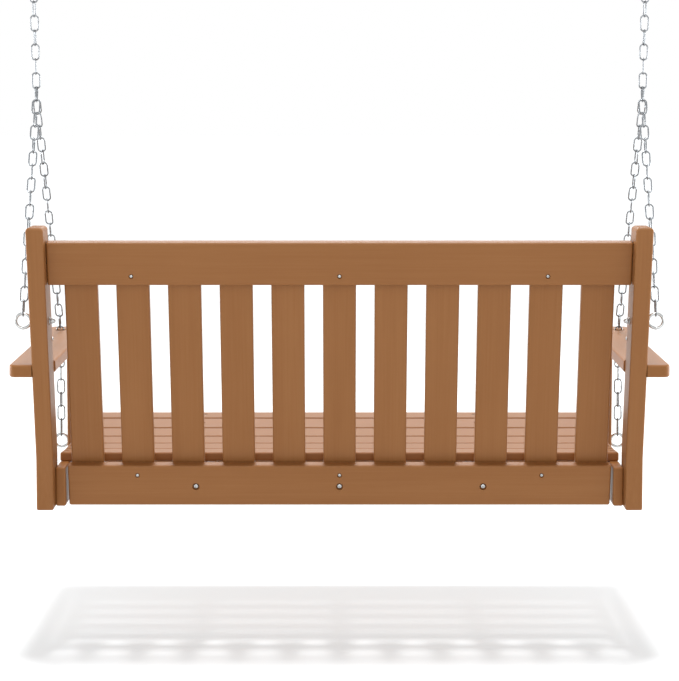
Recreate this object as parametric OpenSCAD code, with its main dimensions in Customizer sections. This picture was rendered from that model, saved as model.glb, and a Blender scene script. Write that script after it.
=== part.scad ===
// Slatted porch swing seat for two, hung on chains from two ceiling hooks.
// Origin: midway between the two ceiling hangers, on their top faces. +Z up, the seat faces -Y.

/* [Posts and arms] */
// Clear width between the left and right posts
inside_w = 1170; // [1100:5:1300]
// Thickness of the posts
post_t = 35; // [30:1:40]
// Depth of the posts, front to back
post_d = 67; // [60:1:74]
// Height of the rear posts, upright
rear_post_h = 590; // [570:5:640]
// Height at which the rear posts start to lean back
bend_h = 106.5; // [100:0.5:110]
// Lean of the back, in degrees
rake = 12.1; // [9:0.1:14]
// Rounding of a rear post's top
post_top_r = 9; // [5:0.5:14]
// Distance from the rear posts' back faces to the middle of the front posts
front_post_at = 478; // [465:1:500]
// Height of the arms' top faces
arm_h = 307; // [290:1:320]
// Thickness of the arms
arm_t = 26; // [22:1:30]
// Width of the arms
arm_w = 89; // [80:1:100]
// Overhang of an arm past the posts' inner faces
arm_inset = 7; // [2:0.5:12]
// Overhang of an arm past the front of the front post
arm_nose = 24.5; // [10:0.5:40]
// Rounding of an arm's corners, seen from above
arm_corner_r = 14; // [6:1:20]
// Rounding of the arms' edges
arm_edge_r = 5; // [3:0.5:8]
// Diameter of the chain hole in each arm
chain_hole_d = 25; // [23:1:30]

/* [Seat] */
// Number of seat slats
seat_slats = 6; // [5:1:6]
// Width of a seat slat
seat_slat_w = 68; // [60:1:70]
// Thickness of the seat slats
seat_slat_t = 19; // [16:1:22]
// Distance from one seat slat to the next
seat_pitch = 73.7; // [72:0.1:76]
// Distance from the rear posts' back faces to the first seat slat
seat_back_at = 88.9; // [80:0.1:95]
// Height of the lowest point of the seat's top line
seat_low_h = 93; // [88:0.5:96]
// Distance from the rear posts' back faces to the seat's lowest point
dish_at = 252; // [220:1:280]
// Radius of the dished seat line
dish_r = 1430; // [1200:10:2000]
// Thickness of the side rails
side_rail_t = 21; // [18:1:24]
// Distance from the rear posts' back faces to the side rails' rear ends
side_rail_at = 30.5; // [20:0.5:40]
// Height of the side rails' lower edges
side_rail_low = 2; // [0:0.5:12]
// Thickness of the seat joists
joist_t = 36; // [30:1:40]
// Height of the lower edges of the joists, the front beam and the apron
joist_low = 4; // [2:1:16]
// Distance of an outer joist, towards the middle, from its back slat's middle line
joist_aside = 16; // [0:0.5:24]
// Distance of the seat screws, away from the middle, from an outer joist's middle line
seat_screw_aside = 12; // [0:0.5:12]
// Thickness of the front apron
apron_t = 21; // [18:1:24]
// Distance of the apron's front face behind the front posts' front faces
apron_set = 1; // [0:0.5:6]
// Thickness of the front beam behind the apron
beam_t = 38; // [34:1:42]

/* [Back] */
// Number of back slats
back_slats = 11; // [9:2:11]
// Width of a back slat
back_slat_w = 67; // [60:1:72]
// Thickness of the back slats
back_slat_t = 19; // [16:1:20]
// Gap between a rear post and the outermost back slat
end_slat_gap = 30.5; // [20:0.5:40]
// Thickness of the back rails
back_rail_t = 22; // [18:1:24]
// Width of the back rails
back_rail_w = 89; // [80:1:95]
// Distance from the top rail's lower edge to its rear screws
top_screw_in = 19; // [16:1:30]
// Distance from the lower rail's upper edge to its rear screws
low_screw_in = 22; // [16:1:26]
// Distance from the lower rail's upper edge to the joist bolts
joist_bolt_in = 47; // [44:1:50]
// Distance up the back from the bend to the top rail's upper edge
top_rail_up = 454; // [440:1:470]
// Distance down the back from the bend to the lower rail's lower edge
low_rail_down = 115; // [105:1:116]
// Distance by which the slats stop short of the rails' outer edges
slat_short = 14; // [8:1:20]
// Gap from the lower rail's ends to the side rails
low_rail_gap = 6; // [3:0.5:12]

/* [Fits and roundings] */
// Rounding of the boards' long edges
edge_r = 4; // [2:0.5:5]
// Gap at the ends of the boards that stand between the posts
end_gap = 0.5; // [0.3:0.1:1.5]
// Gap round a rear post in the arm's notch
notch_gap = 0.3; // [0.2:0.1:1]
// Clearance round the screws and bolts in their holes
hole_gap = 0.05; // [0.03:0.01:0.1]

/* [Screws and bolts] */
// Diameter of the screws
screw_d = 4.2; // [3.5:0.1:5]
// Diameter of the screw heads
screw_head_d = 7; // [6:0.5:8]
// Height of the screw heads
screw_head_h = 2.6; // [2:0.1:3]
// Diameter of the recess round a screw head
recess_d = 9.6; // [9:0.1:11]
// Depth of the recess
recess_deep = 3.2; // [3:0.1:4]
// Length of the screws through a rail or slat
short_screw_l = 32; // [26:1:34]
// Length of the screws through a post
long_screw_l = 72; // [60:1:80]
// Diameter of the joist bolts and the eye bolts' shanks
bolt_d = 6.35; // [6:0.05:7]
// Diameter of the joist bolts' heads
bolt_head_d = 10.5; // [10:0.5:12]
// Height of the joist bolts' heads
bolt_head_h = 4.2; // [3.5:0.1:5]
// Diameter of the recess round a joist bolt's head
bolt_recess_d = 15; // [14:0.5:16]
// Length of the joist bolts
bolt_l = 76; // [70:1:84]
// Diameter of the barrel nuts in the joists and the front beam
barrel_d = 12; // [10:0.5:14]
// Distance that a front eye bolt reaches into the front beam
beam_grip = 56; // [45:1:70]
// Diameter of the pan head on the rear posts' inner faces
peg_head_d = 8; // [7:0.5:10]
// Height of the pan head on a rear post, up the back from the bend
peg_up = 240.5; // [225:0.5:255]
// Distance from the pan head's middle to the rear post's front face
peg_in = 9; // [7:0.5:14]
// Height of the eye bolt in a rear post, up the back from the bend
rear_eye_up = 287.7; // [270:0.1:300]
// Height of the eye bolt in a front post
front_eye_h = 51.7; // [45:0.1:56]
// Outer diameter of an eye bolt's ring
eye_d = 35.6; // [32:0.1:38]
// Diameter of the eye bolt's ring wire
eye_wire_d = 6; // [5:0.1:7]
// Width across the flats of the cap nuts
nut_w = 11; // [10:0.5:13]
// Diameter of the washers
washer_d = 16; // [14:0.5:18]

/* [Chains] */
// Distance from one chain link to the next
pitch = 30.4; // [29:0.1:31]
// Diameter of the chain's wire
wire_d = 3.2; // [3:0.1:3.6]
// Clear width inside a link
link_in_w = 12.6; // [12:0.1:14]
// Slack between two links
link_gap = 0.2; // [0.15:0.05:0.3]
// Links in each upper chain
upper_links = 8; // [6:2:12]
// Links in each rear leg
rear_links = 17; // [17:1:17]
// Links in each front leg, above the arm
front_links = 20; // [20:1:20]
// Links that run down through the arm
drop_links = 7; // [7:1:7]
// Outward lean of the chains, in degrees
chain_lean = 0.9; // [0:0.1:1.5]
// Largest turn of a hanging link off its square position, in degrees
link_turn = 9; // [0:1:12]

/* [Ceiling hangers] */
// Distance from the rear posts' back faces to the plane in which the seat hangs
hang_at = 216.2; // [200:0.1:225]
// Thickness of the ceiling plates
plate_t = 5; // [4:0.5:8]
// Length of the ceiling plates, front to back
plate_l = 100; // [90:1:120]
// Width of the ceiling plates
plate_w = 40; // [34:1:50]
// Distance between the two screw holes of a ceiling plate
plate_hole_pitch = 70; // [60:1:80]
// Diameter of the screw holes in the ceiling plates
plate_hole_d = 7; // [6:0.5:8]
// Diameter of the hooks' rod
hook_d = 8; // [7:0.5:9]
// Radius of the hooks' rod, at its middle line
hook_r = 16; // [14:0.5:20]
// Length of the hooks' straight neck
hook_neck = 38; // [25:1:60]
// Length of the hooks' straight tip
hook_tip = 12; // [4:1:20]

/* [Hidden] */
$fn = 48;
WOOD = [0.6, 0.41, 0.25];
STEEL = [0.78, 0.79, 0.8];

// Across the seat: every fourth back slat is screwed on from behind, the third one each side bolted
rear_screwed_each = 4;
bolted_slat = 3;
back_pitch = (inside_w - 2 * end_slat_gap - back_slat_w) / (back_slats - 1);
joist_pitch = bolted_slat * back_pitch - joist_aside;

// Posts. The bench's own places: distances run forward from the rear posts' back faces,
// heights run up from the posts' feet.
post_in = inside_w / 2;
post_mid = post_in + post_t / 2;
post_out = post_in + post_t;
front_post_front = front_post_at + post_d / 2;
board_l = inside_w - 2 * end_gap;
raked_l = (rear_post_h - bend_h) / cos(rake);

// Distance forward to the plane that lies "deep" in front of the raked back face, at height h
function rake_at(h, deep) = -(h - bend_h) * tan(rake) + deep / cos(rake);

// Seat line: the slats' undersides lie on straight stretches between these places
slat_at = [for (i = [0 : seat_slats]) seat_back_at + i * seat_pitch];
function dish_h(d) = seat_low_h + dish_r - sqrt(dish_r * dish_r - (d - dish_at) * (d - dish_at));
lip_h = dish_h(slat_at[seat_slats - 1]);
under = [for (i = [0 : seat_slats]) [slat_at[i], (i < seat_slats ? dish_h(slat_at[i]) : lip_h) - seat_slat_t]];
apron_front = front_post_front - apron_set;
apron_back = apron_front - apron_t;
apron_mid = apron_back + apron_t / 2;
beam_back = apron_back - beam_t;
reach = 2 * front_post_at;
side_rail_in = post_in - side_rail_t;
side_rail_mid = post_in - side_rail_t / 2;
joist_at = [-joist_pitch, 0, joist_pitch];
bearer_at = concat([-side_rail_mid], joist_at, [side_rail_mid]);
function joist_screw_at(x) = x + sign(x) * seat_screw_aside;
seat_screw_at = concat([-side_rail_mid], [for (x = joist_at) joist_screw_at(x)], [side_rail_mid]);

// Back panel: depths count from the posts' raked back faces, heights up the rake from the bend
back_rail_deep = post_d - back_slat_t - back_rail_t;
low_rail_top = back_rail_w - low_rail_down;
slat_top = top_rail_up - slat_short;
slat_foot = slat_short - low_rail_down;
top_mid = top_rail_up - back_rail_w / 2;
low_mid = low_rail_top - back_rail_w / 2;
half = (back_slats - 1) / 2;
rear_screwed = [for (i = [-1 : 1]) rear_screwed_each * i * back_pitch];
front_screwed_top = [for (i = [-half : half]) if (i % rear_screwed_each != 0) i * back_pitch];
front_screwed_low = [for (i = [-half : half])
    if (i % rear_screwed_each != 0 && abs(i) != bolted_slat) i * back_pitch];
bolt_seat = bolt_head_h + 1;
barrel_deep = bolt_seat + bolt_l - barrel_d;

// The places in xs that a back slat in the middle of x covers
function near(xs, x) = [for (v = xs) if (abs(v - x) < back_slat_w / 2) v];

// Arms
arm_mid_h = arm_h - arm_t / 2;
arm_in = post_in - arm_inset;
arm_out = arm_in + arm_w;
arm_back = rake_at(arm_mid_h, 0);
arm_front = front_post_front + arm_nose;
arm_joint_at = rake_at(arm_mid_h, post_d / 2);
arm_up = (arm_mid_h - bend_h) / cos(rake);

// Screws that end inside the second piece of wood
screw_stop = 4;
apron_screw_bite = 24;
beam_screw_bite = 36;
side_screw_up = [20, 60];
apron_screw_up = [26, 58];
beam_screw_up = [14, 46];
side_rail_screw_l = post_t + side_rail_t - recess_deep - screw_stop;
apron_screw_l = apron_t + apron_screw_bite;
beam_screw_l = beam_t + beam_screw_bite;
arm_side_screw_l = arm_w - arm_inset - recess_deep - screw_stop;
side_screw_h = [for (up = side_screw_up) side_rail_low + up];
apron_screw_h = [for (up = apron_screw_up) joist_low + up];
beam_screw_h = [for (up = beam_screw_up) joist_low + up];
peg_screw_l = 25;
head_dome = 0.75;
head_socket = 0.45;

// Eye bolts, nuts and washers
eye_r = (eye_d - eye_wire_d) / 2;
eye_x = post_out + eye_d / 2;
rear_eye_h = bend_h + rear_eye_up * cos(rake) + post_d / 2 * sin(rake);
rear_eye_at = rake_at(rear_eye_h, post_d / 2);
washer_t = 1.5;
nut_flat_l = 5.5;
nut_l = 11;
thread_l = 7;
barrel_short = 3;
beam_nut_in = beam_grip - barrel_d;
beam_nut_l = 2 * (apron_back - front_post_at - barrel_short);

// Chains. Each leg ends at a wire that its last link is hooked round.
link_l = pitch + link_gap;
link_r = (link_in_w + wire_d) / 2;
leg_apart = wire_d / 2 + link_gap;
length_step = 0.01;
saddle = link_r - sqrt(link_r * link_r - leg_apart * leg_apart);
lead_junction = wire_d / 2 + saddle + link_gap;
lead_link = wire_d / 2 + link_gap;
lead_eye = eye_wire_d / 2 + link_gap;
lead_hook = hook_d / 2 + link_gap;
rear_leg_l = rear_links * pitch + link_gap - lead_junction - lead_eye;
front_leg_l = front_links * pitch + link_gap - lead_junction - lead_link;
upper_l = upper_links * pitch + link_gap + wire_d / 2 - lead_hook;
rear_eye_top = [eye_x, -rear_eye_at, rear_eye_h + eye_r];
front_eye_top = [eye_x, -front_post_at, front_eye_h + eye_r];
rear_rise = cos(chain_lean) * sqrt(pow(rear_leg_l, 2) - pow(hang_at - rear_eye_at, 2));
junction = [eye_x + rear_rise * tan(chain_lean), -hang_at, rear_eye_top.z + rear_rise];
first_turns = [90, 30, -30];
turn_step = 140;
front_run = [junction.x + leg_apart - eye_x, front_post_at - hang_at];
front_drop = sqrt(pow(front_leg_l, 2) - pow(norm(front_run), 2));
elbow = [eye_x, -front_post_at, junction.z - front_drop];
drop_end_h = elbow.z - wire_d / 2 - drop_links * pitch;
connector_low_h = front_eye_top.z - eye_wire_d / 2 - link_gap;
connector_l = floor((drop_end_h - connector_low_h) / length_step) * length_step;
hook_low = junction + upper_l * [sin(chain_lean), 0, cos(chain_lean)];
hang_h = hook_low.z + hook_r + hook_neck + plate_t;
plate_corner_r = 8;

SLAT_NAMES = [for (i = [1 : back_slats]) str("back_slat_", i)];
SEAT_NAMES = [for (i = [1 : seat_slats]) str("seat_slat_", i)];

// ---- Places ----

// From the bench's own places to the frame at the ceiling
module bench() {
    translate([0, hang_at, -hang_h]) children();
}

// Origin at the bend of the back, +Z up the rake, -Y towards the front face
module on_back() {
    bench() translate([0, 0, bend_h]) rotate([-rake, 0, 0]) children();
}

// Origin in the middle of a seat slat's underside, +Z out of the seat
module on_slat(i) {
    rear = under[i];
    front = under[i + 1];
    mid = (rear + front) / 2;
    tilt = atan2(front.y - rear.y, front.x - rear.x);
    bench() translate([0, -mid.x, mid.y]) rotate([-tilt, 0, 0]) children();
}

module left_and_right() {
    children();
    mirror([1, 0, 0]) children();
}

// ---- Shapes ----

module round_rect(w, h, r) {
    square([w - 2 * r, h], center = true);
    square([w, h - 2 * r], center = true);
    for (x = [-1, 1], y = [-1, 1])
        translate([x * (w / 2 - r), y * (h / 2 - r)]) circle(r);
}

// A board with all its edges rounded; corner rounds its outline, seen from above, and ends its
// ends, seen from the side
module board(size, r = edge_r, corner = edge_r, ends = edge_r) {
    intersection() {
        linear_extrude(size.z, center = true) round_rect(size.x, size.y, corner);
        rotate([90, 0, 0]) linear_extrude(size.y, center = true) round_rect(size.x, size.z, r);
        rotate([90, 0, 90]) linear_extrude(size.x, center = true) round_rect(size.y, size.z, ends);
    }
}

// A post of length l that stands on z = 0, centred on X and Y
module post(l, corner = edge_r) {
    translate([0, 0, l / 2]) rotate([90, 0, 90]) board([post_d, l, post_t], edge_r, corner, corner);
}

// A section t wide from height low to height high, with its two lower corners rounded
module bearer_section(t, low, high) {
    translate([-t / 2, low + edge_r]) square([t, high - low - edge_r]);
    translate([edge_r - t / 2, low]) square([t - 2 * edge_r, 2 * edge_r]);
    for (x = [-1, 1])
        translate([x * (t / 2 - edge_r), low + edge_r]) circle(edge_r);
}

// Everything under the seat slats, seen from the side
module under_seat() {
    polygon(concat(
        [[0, -post_d], [reach, -post_d], [reach, under[seat_slats].y]],
        [for (i = [seat_slats : -1 : 0]) under[i]],
        [[0, under[0].y]]
    ));
}

// The side outline of a bearer that runs from one distance to another under the slats
module bearer_side(from, to, low) {
    intersection() {
        under_seat();
        translate([from, low]) square([to - from, arm_h]);
    }
}

// A bearer at x, t thick, from its side outline
module bearer(x, t, low) {
    bench() translate([x, 0, 0]) intersection() {
        rotate([90, 0, -90]) linear_extrude(t, center = true) children();
        rotate([90, 0, 0]) linear_extrude(reach) bearer_section(t, low, arm_h);
    }
}

// A board across the seat, l long, from one distance to another under the slats
module cross_board(l, from, to) {
    bench() intersection() {
        rotate([90, 0, -90]) linear_extrude(l, center = true) bearer_side(from, to, joist_low);
        translate([0, -(from + to) / 2, 0]) rotate([90, 0, 90])
            linear_extrude(l, center = true) bearer_section(to - from, joist_low, arm_h);
    }
}

// Screws and bolts point down -Z from the face of the wood at z = 0
module screw(length, head_d = screw_head_d, sunk = recess_deep) {
    dome_r = head_d * head_dome;
    color(STEEL) translate([0, 0, -sunk]) {
        difference() {
            intersection() {
                cylinder(d = head_d, h = screw_head_h);
                translate([0, 0, screw_head_h - dome_r]) sphere(dome_r);
            }
            translate([0, 0, screw_head_h / 2]) cylinder(d = head_d * head_socket, h = screw_head_h, $fn = 6);
        }
        translate([0, 0, screw_d - length]) cylinder(d = screw_d, h = length - screw_d);
        translate([0, 0, -length]) cylinder(d1 = screw_d / 4, d2 = screw_d, h = screw_d);
    }
}

module screw_hole(length, sunk = recess_deep) {
    if (sunk > 0)
        translate([0, 0, -sunk]) cylinder(d = recess_d, h = sunk + 1);
    translate([0, 0, -sunk - length - 0.5]) cylinder(d = screw_d + 2 * hole_gap, h = length + 1);
}

module joist_bolt() {
    color(STEEL) translate([0, 0, -bolt_seat]) difference() {
        union() {
            cylinder(d = bolt_head_d, h = bolt_head_h);
            translate([0, 0, -bolt_l]) cylinder(d = bolt_d, h = bolt_l);
        }
        translate([0, 0, bolt_head_h / 3]) cylinder(d = bolt_head_d / 2, h = bolt_head_h, $fn = 6);
    }
}

module joist_bolt_hole() {
    translate([0, 0, -bolt_seat]) cylinder(d = bolt_recess_d, h = bolt_seat + 1);
    translate([0, 0, -bolt_seat - bolt_l - 1]) cylinder(d = bolt_d + 2 * hole_gap, h = bolt_l + 2);
}

// A hole across X for a bolt that passes the plane x
module cross_hole(x, l) {
    translate([x, 0, 0]) rotate([0, 90, 0]) cylinder(d = bolt_d + 2 * hole_gap, h = l, center = true);
}

// A ring in the XZ plane with a shank towards -X that reaches deep past the post's outer face
module eye_bolt(deep) {
    shank = eye_d / 2 - eye_r + deep;
    color(STEEL) {
        rotate([90, 0, 0]) rotate_extrude() translate([eye_r, 0]) circle(d = eye_wire_d);
        translate([-eye_r - shank, 0, 0]) rotate([0, 90, 0]) cylinder(d = bolt_d, h = shank);
    }
}

// A cap nut on the plane x = 0 whose dome points to -X
module cap_nut() {
    color(STEEL) rotate([0, -90, 0]) difference() {
        union() {
            cylinder(d = nut_w / cos(30), h = nut_flat_l, $fn = 6);
            intersection() {
                cylinder(d = nut_w - 1, h = nut_l);
                translate([0, 0, nut_l - nut_w * 0.6]) sphere(nut_w * 0.6);
            }
        }
        translate([0, 0, -1]) cylinder(d = bolt_d + 2 * hole_gap, h = thread_l + 1.5);
    }
}

module washer() {
    color(STEEL) rotate([0, -90, 0]) difference() {
        cylinder(d = washer_d, h = washer_t);
        translate([0, 0, -1]) cylinder(d = bolt_d + 2 * hole_gap, h = washer_t + 2);
    }
}

// A chain link that stands along Z in the XZ plane
module link(inner_l = link_l) {
    straight = inner_l - link_in_w;
    for (x = [-link_r, link_r])
        translate([x, 0, 0]) cylinder(d = wire_d, h = straight, center = true);
    for (turn = [0, 180])
        rotate([turn, 0, 0]) translate([0, 0, straight / 2]) rotate([90, 0, 0])
            rotate_extrude(angle = 180) translate([link_r, 0]) circle(d = wire_d);
}

// Links hung from one wire towards another; the first reaches "lead" beyond the wire's middle
module chain_run(from, to, lead, turns) {
    way = (to - from) / norm(to - from);
    color(STEEL) bench() translate(from)
        rotate([atan2(way.y, -way.z), 0, 0]) rotate([0, -asin(way.x), 0])
            for (i = [0 : len(turns) - 1])
                translate([0, 0, lead - link_l / 2 - i * pitch]) rotate(turns[i]) link();
}

// Turns of count links, a quarter turn apart; all but the end ones hang a little off square
function turns(count, first) = [
    for (i = [0 : count - 1])
        first + 90 * (i % 2) + (i > 0 && i < count - 1 ? link_turn * sin(i * turn_step) : 0)
];

// ---- Where the screws and bolts go ----

module at_top_rail_screws(xs = rear_screwed) {
    on_back() for (x = xs)
        translate([x, -back_rail_deep, top_rail_up - back_rail_w + top_screw_in])
            rotate([-90, 0, 0]) children();
}

module at_lower_rail_screws(xs = rear_screwed) {
    on_back() for (x = xs)
        translate([x, -back_rail_deep, low_rail_top - low_screw_in]) rotate([-90, 0, 0]) children();
}

module at_joist_bolts(xs = joist_at) {
    on_back() for (x = xs)
        translate([x, -back_rail_deep, low_rail_top - joist_bolt_in]) rotate([-90, 0, 0]) children();
}

// The slats that no screw or bolt holds from behind are screwed on from the front
module at_back_slat_screws(tops = front_screwed_top, lows = front_screwed_low) {
    on_back() {
        for (x = tops) translate([x, -post_d, top_mid]) rotate([90, 0, 0]) children();
        for (x = lows) translate([x, -post_d, low_mid]) rotate([90, 0, 0]) children();
    }
}

// The front slat's screws stand over the middle of the apron
module at_seat_screws(slats = [0 : seat_slats - 1], xs = seat_screw_at) {
    for (i = slats) {
        ahead = i < seat_slats - 1 ? 0 : apron_mid - (slat_at[i] + slat_at[i + 1]) / 2;
        on_slat(i) for (x = xs) translate([x, -ahead, seat_slat_t]) children();
    }
}

module at_rail_end_screws() {
    on_back() for (z = [-1, 1])
        translate([post_out, -back_rail_deep - back_rail_t / 2, top_mid + z * back_rail_w / 4])
            rotate([0, 90, 0]) children();
}

module at_side_rail_screws() {
    bench() {
        for (h = side_screw_h)
            translate([post_out, -(side_rail_at + post_d) / 2, h]) rotate([0, 90, 0]) children();
        translate([post_out, -front_post_at, side_screw_h[0]]) rotate([0, 90, 0]) children();
    }
}

module at_apron_screws(xs = bearer_at) {
    bench() for (x = xs, h = apron_screw_h)
        translate([x, -apron_front, h]) rotate([90, 0, 0]) children();
}

module at_beam_screws(xs = joist_at) {
    bench() for (x = xs, h = beam_screw_h)
        translate([x, -apron_back, h]) rotate([90, 0, 0]) children();
}

module at_arm_top_screws() {
    bench() for (y = [-1, 1])
        translate([post_mid, -front_post_at + y * post_d / 4, arm_h]) children();
}

module at_arm_side_screw() {
    bench() translate([arm_out, -arm_joint_at, arm_mid_h]) rotate([0, 90, 0]) children();
}

module at_post_peg() {
    on_back() translate([post_in, peg_in - post_d, peg_up]) rotate([0, -90, 0]) children();
}

module at_rear_eye() {
    bench() translate([eye_x, -rear_eye_at, rear_eye_h]) children();
}

module at_front_eye() {
    bench() translate([eye_x, -front_post_at, front_eye_h]) children();
}

// The middle of the barrel nut that a front eye bolt screws into, +Z to the front
module at_beam_nut() {
    bench() translate([side_rail_in - beam_nut_in, -front_post_at, front_eye_h])
        rotate([90, 0, 0]) children();
}

// ---- Wooden pieces ----

// One limb of a rear post, l long along its back face, below the mitre plane z = 0
module post_limb(l, corner) {
    intersection() {
        rotate([rake / 2, 0, 0]) translate([0, -post_d / 2, -l]) post(l + post_d, corner);
        translate([-post_t, -2 * post_d, -2 * l]) cube([2 * post_t, 4 * post_d, 2 * l]);
    }
}

module rear_post() {
    color(WOOD) difference() {
        bench() translate([post_mid, 0, bend_h]) rotate([-rake / 2, 0, 0]) union() {
            post_limb(bend_h, edge_r);
            mirror([0, 0, 1]) post_limb(raked_l, post_top_r);
        }
        at_rail_end_screws() screw_hole(long_screw_l);
        at_side_rail_screws() screw_hole(side_rail_screw_l);
        at_arm_side_screw() screw_hole(arm_side_screw_l);
        at_post_peg() screw_hole(peg_screw_l, 0);
        at_rear_eye() cross_hole(post_mid - eye_x, post_t + 2);
    }
}

module front_post() {
    color(WOOD) difference() {
        bench() translate([post_mid, -front_post_at, 0]) post(arm_h - arm_t);
        at_arm_top_screws() screw_hole(long_screw_l);
        at_side_rail_screws() screw_hole(side_rail_screw_l);
        at_front_eye() cross_hole(post_mid - eye_x, post_t + 2);
    }
}

module arm() {
    notch_w = post_out + notch_gap - arm_in + 1;
    color(WOOD) difference() {
        bench() translate([(arm_in + arm_out) / 2, -(arm_front + arm_back) / 2, arm_mid_h])
            board([arm_w, arm_front - arm_back, arm_t], arm_edge_r, arm_corner_r, arm_edge_r);
        on_back() translate([arm_in - 1, -post_d - notch_gap, arm_up - 2 * arm_t])
            cube([notch_w, 3 * post_d, 4 * arm_t]);
        bench() translate([eye_x, -front_post_at, arm_mid_h])
            cylinder(d = chain_hole_d, h = arm_t + 2, center = true);
        at_arm_top_screws() screw_hole(long_screw_l);
        at_arm_side_screw() screw_hole(arm_side_screw_l);
    }
}

module side_rail() {
    color(WOOD) difference() {
        bearer(side_rail_mid, side_rail_t, side_rail_low)
            bearer_side(side_rail_at, apron_back, side_rail_low);
        at_side_rail_screws() screw_hole(side_rail_screw_l);
        at_apron_screws([side_rail_mid]) screw_hole(apron_screw_l);
        at_seat_screws([0 : seat_slats - 2], [side_rail_mid]) screw_hole(short_screw_l);
        at_front_eye() cross_hole(side_rail_mid - eye_x, side_rail_t + 2);
    }
}

module seat_joist(x) {
    color(WOOD) difference() {
        bearer(x, joist_t, joist_low) intersection() {
            bearer_side(0, beam_back, joist_low);
            translate([0, bend_h]) rotate(rake) translate([post_d, -reach]) square(2 * reach);
        }
        at_seat_screws([0 : seat_slats - 2], [joist_screw_at(x)]) screw_hole(short_screw_l);
        at_beam_screws([x]) screw_hole(beam_screw_l);
        at_joist_bolts([x]) {
            joist_bolt_hole();
            translate([0, 0, -barrel_deep]) rotate([0, 90, 0])
                cylinder(d = barrel_d + 2 * hole_gap, h = joist_t + 2, center = true);
        }
    }
}

module front_beam() {
    color(WOOD) difference() {
        cross_board(2 * side_rail_in, beam_back, apron_back);
        at_beam_screws() screw_hole(beam_screw_l);
        at_apron_screws(joist_at) screw_hole(apron_screw_l);
        left_and_right() {
            at_front_eye() cross_hole(side_rail_in - eye_x, 2 * beam_grip + 2);
            at_beam_nut() cylinder(d = barrel_d + 2 * hole_gap, h = 2 * beam_t, center = true);
        }
    }
}

module front_apron() {
    color(WOOD) difference() {
        cross_board(board_l, apron_back, apron_front);
        at_apron_screws() screw_hole(apron_screw_l);
        at_seat_screws([seat_slats - 1]) screw_hole(short_screw_l);
    }
}

module top_rail() {
    color(WOOD) difference() {
        on_back() translate([0, -back_rail_deep - back_rail_t / 2, top_mid])
            board([board_l, back_rail_t, back_rail_w]);
        at_top_rail_screws() screw_hole(short_screw_l);
        at_back_slat_screws(lows = []) screw_hole(short_screw_l);
        left_and_right() at_rail_end_screws() screw_hole(long_screw_l);
    }
}

module lower_back_rail() {
    color(WOOD) difference() {
        on_back() translate([0, -back_rail_deep - back_rail_t / 2, low_mid])
            board([2 * (side_rail_in - low_rail_gap), back_rail_t, back_rail_w]);
        at_lower_rail_screws() screw_hole(short_screw_l);
        at_back_slat_screws(tops = []) screw_hole(short_screw_l);
        at_joist_bolts() joist_bolt_hole();
    }
}

module back_slat(i) {
    x = (i - half) * back_pitch;
    color(WOOD) difference() {
        on_back() translate([x, back_slat_t / 2 - post_d, (slat_top + slat_foot) / 2])
            board([back_slat_w, back_slat_t, slat_top - slat_foot]);
        at_top_rail_screws(near(rear_screwed, x)) screw_hole(short_screw_l);
        at_lower_rail_screws(near(rear_screwed, x)) screw_hole(short_screw_l);
        at_back_slat_screws(near(front_screwed_top, x), near(front_screwed_low, x))
            screw_hole(short_screw_l);
        at_joist_bolts(near(joist_at, x)) joist_bolt_hole();
    }
}

module seat_slat(i) {
    color(WOOD) difference() {
        on_slat(i) translate([0, 0, seat_slat_t / 2]) board([board_l, seat_slat_w, seat_slat_t]);
        at_seat_screws([i]) screw_hole(short_screw_l);
    }
}

// ---- Metal pieces ----

// A barrel nut along Z, cut through for a bolt along X
module barrel_nut(l) {
    color(STEEL) difference() {
        cylinder(d = barrel_d, h = l, center = true);
        cross_hole(0, barrel_d + 2);
    }
}

module barrel_nuts() {
    at_joist_bolts() translate([0, 0, -barrel_deep]) rotate([0, 90, 0])
        barrel_nut(joist_t - 2 * barrel_short);
    left_and_right() at_beam_nut() barrel_nut(beam_nut_l);
}

module rear_eye_bolt() {
    at_rear_eye() eye_bolt(post_t + washer_t + thread_l);
}

module front_eye_bolt() {
    at_front_eye() eye_bolt(post_t + side_rail_t + beam_grip);
}

module cap_nuts() {
    left_and_right() at_rear_eye() translate([post_in - washer_t - eye_x, 0, 0]) cap_nut();
}

module washers() {
    left_and_right() at_rear_eye() translate([post_in - eye_x, 0, 0]) washer();
}

module arm_screws() {
    left_and_right() {
        at_arm_top_screws() screw(long_screw_l);
        at_arm_side_screw() screw(arm_side_screw_l);
    }
}

module upper_chain() {
    chain_run(hook_low, junction, lead_hook, turns(upper_links, 90));
}

module rear_chain() {
    aside = [leg_apart, 0, 0];
    chain_run(junction - aside, rear_eye_top, lead_junction, turns(rear_links, 90));
}

// The front leg's second and third links turn its odd ones face-on, then it drops through the arm
module front_chain() {
    aside = [leg_apart, 0, 0];
    slanted = concat(first_turns, turns(front_links - len(first_turns), 90));
    chain_run(junction + aside, elbow, lead_junction, slanted);
    chain_run(elbow, front_eye_top, -wire_d / 2, turns(drop_links, 0));
}

module connector() {
    color(STEEL) bench() translate([eye_x, -front_post_at, (drop_end_h + connector_low_h) / 2])
        rotate(90) link(connector_l);
}

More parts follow.
